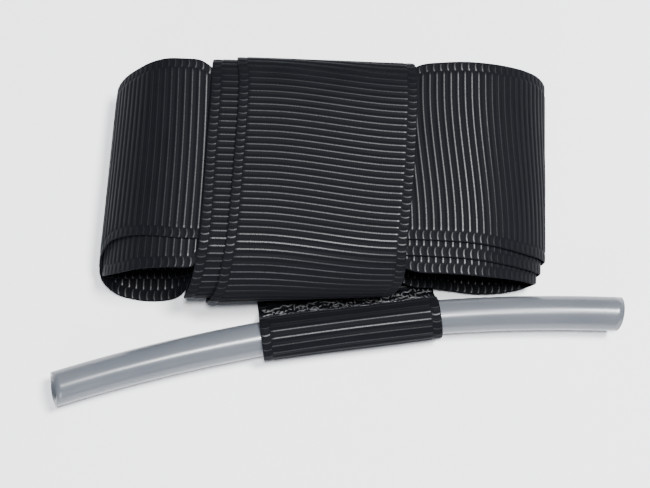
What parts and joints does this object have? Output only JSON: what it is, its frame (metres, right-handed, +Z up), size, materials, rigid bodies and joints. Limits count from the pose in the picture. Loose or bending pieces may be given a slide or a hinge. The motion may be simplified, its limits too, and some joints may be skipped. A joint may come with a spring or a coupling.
{
  "type": "tourniquet",
  "caption": "Strap tourniquet stored as a flat hank: ribbed black ribbon looped, wrapped round its waist and ending in a sewn sleeve that holds a translucent plastic tube handle.",
  "frame": {"origin": "middle of the whole object's underside, on the table that it lies on", "axes": "+X to the right along the loops and the handle, +Y to the back, away from the handle, +Z up"},
  "size_m": [0.12, 0.075, 0.0204],
  "materials": {
    "strap": "black ribbed grosgrain, slight sheen on the ribs",
    "thread": "black sewing thread",
    "tube": "milky translucent, smooth"
  },
  "bodies": {
    "hank": {"right_loop_outer": "strap", "right_loop_middle": "strap", "right_loop_inner": "strap", "left_loop_outer": "strap", "left_loop_inner": "strap", "corner_fold": "strap", "inner_wrap": "strap", "outer_wrap": "strap", "under_pass": "strap"},
    "handle": {"handle_sleeve": "strap", "handle_stitches": "thread"},
    "tube": {"handle_tube": "tube"}
  },
  "joints": [
    {"name": "handle_swing", "type": "hinge", "parent": "hank", "child": "handle", "pos_m": [0.00038, -0.00917, 0.00025], "axis": [0.9877, 0.1564, 0], "range_deg": [0, 120]},
    {"name": "tube_slide", "type": "hinge", "parent": "handle", "child": "tube", "pos_m": [0.05666, -0.36449, 0.0045], "axis": [0, 0, 1], "range_deg": [-5.5, 4.7]}
  ]
}
